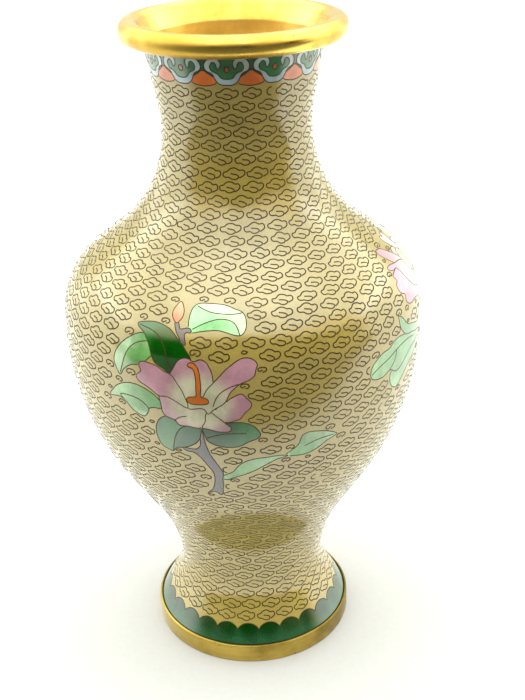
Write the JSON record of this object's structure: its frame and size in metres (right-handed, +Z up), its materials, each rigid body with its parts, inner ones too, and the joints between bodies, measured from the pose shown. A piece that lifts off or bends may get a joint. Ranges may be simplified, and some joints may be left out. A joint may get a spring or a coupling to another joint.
{
  "type": "cloisonne vase",
  "caption": "Baluster vase with a gilt metal mouth and foot ring and an enamel skin of cloud scroll ground, flower sprays, ruyi collar and scalloped foot border.",
  "frame": {"origin": "centre of the foot ring's underside, where the vase stands", "axes": "+Z up along the vase's axis, the magnolia spray faces -Y turned ten degrees towards -X, +X to the right seen from the front"},
  "size_m": [0.1374, 0.1374, 0.254],
  "materials": {
    "gilt_brass": "gilt, softly polished with light wear",
    "copper_wall": "spun copper, gilt inside the neck",
    "lining_blue": "glossy counter enamel",
    "field_cream": "polished glossy enamel, cream yellow",
    "petal_pink": "polished enamel shading from lilac pink to pale grey green",
    "stamen_orange": "polished enamel",
    "bud_orange": "polished enamel",
    "leaf_pale": "polished enamel, shaded",
    "leaf_dark": "polished enamel",
    "leaf_sage": "polished enamel, shaded",
    "branch_brown": "polished enamel",
    "petal_blue": "polished enamel shading from pale blue to white",
    "heart_yellow": "polished enamel",
    "scroll_blue": "polished enamel",
    "collar_green": "polished enamel",
    "border_green": "polished enamel",
    "wire_gilt": "gilt wire, ground flush"
  },
  "bodies": {
    "root": {"foot_shell": "copper_wall", "belly_shell": "copper_wall", "neck_shell": "copper_wall", "lining_enamel": "lining_blue", "mouth_ring": "gilt_brass", "foot_ring": "gilt_brass", "base_plate": "copper_wall", "base_enamel": "lining_blue", "magnolia_stamen_enamel": "stamen_orange", "magnolia_petal_enamel": "petal_pink", "magnolia_bud_enamel": "bud_orange", "magnolia_branch_enamel": "branch_brown", "magnolia_pale_leaf_enamel": "leaf_pale", "magnolia_dark_leaf_enamel": "leaf_dark", "magnolia_sage_leaf_enamel": "leaf_sage", "magnolia_wires": "wire_gilt", "peony_heart_enamel": "heart_yellow", "peony_petal_enamel": "petal_pink", "peony_leaf_enamel": "leaf_pale", "peony_wires": "wire_gilt", "blue_peony_heart_enamel": "heart_yellow", "blue_peony_petal_enamel": "petal_blue", "blue_peony_leaf_enamel": "leaf_pale", "blue_peony_wires": "wire_gilt", "ruyi_dot_enamel": "stamen_orange", "ruyi_scroll_enamel": "scroll_blue", "ruyi_field_enamel": "collar_green", "collar_drop_enamel": "bud_orange", "collar_ground_enamel": "collar_green", "collar_wires": "wire_gilt", "foot_border_enamel": "border_green", "foot_border_wire": "wire_gilt", "field_enamel": "field_cream"}
  },
  "joints": []
}
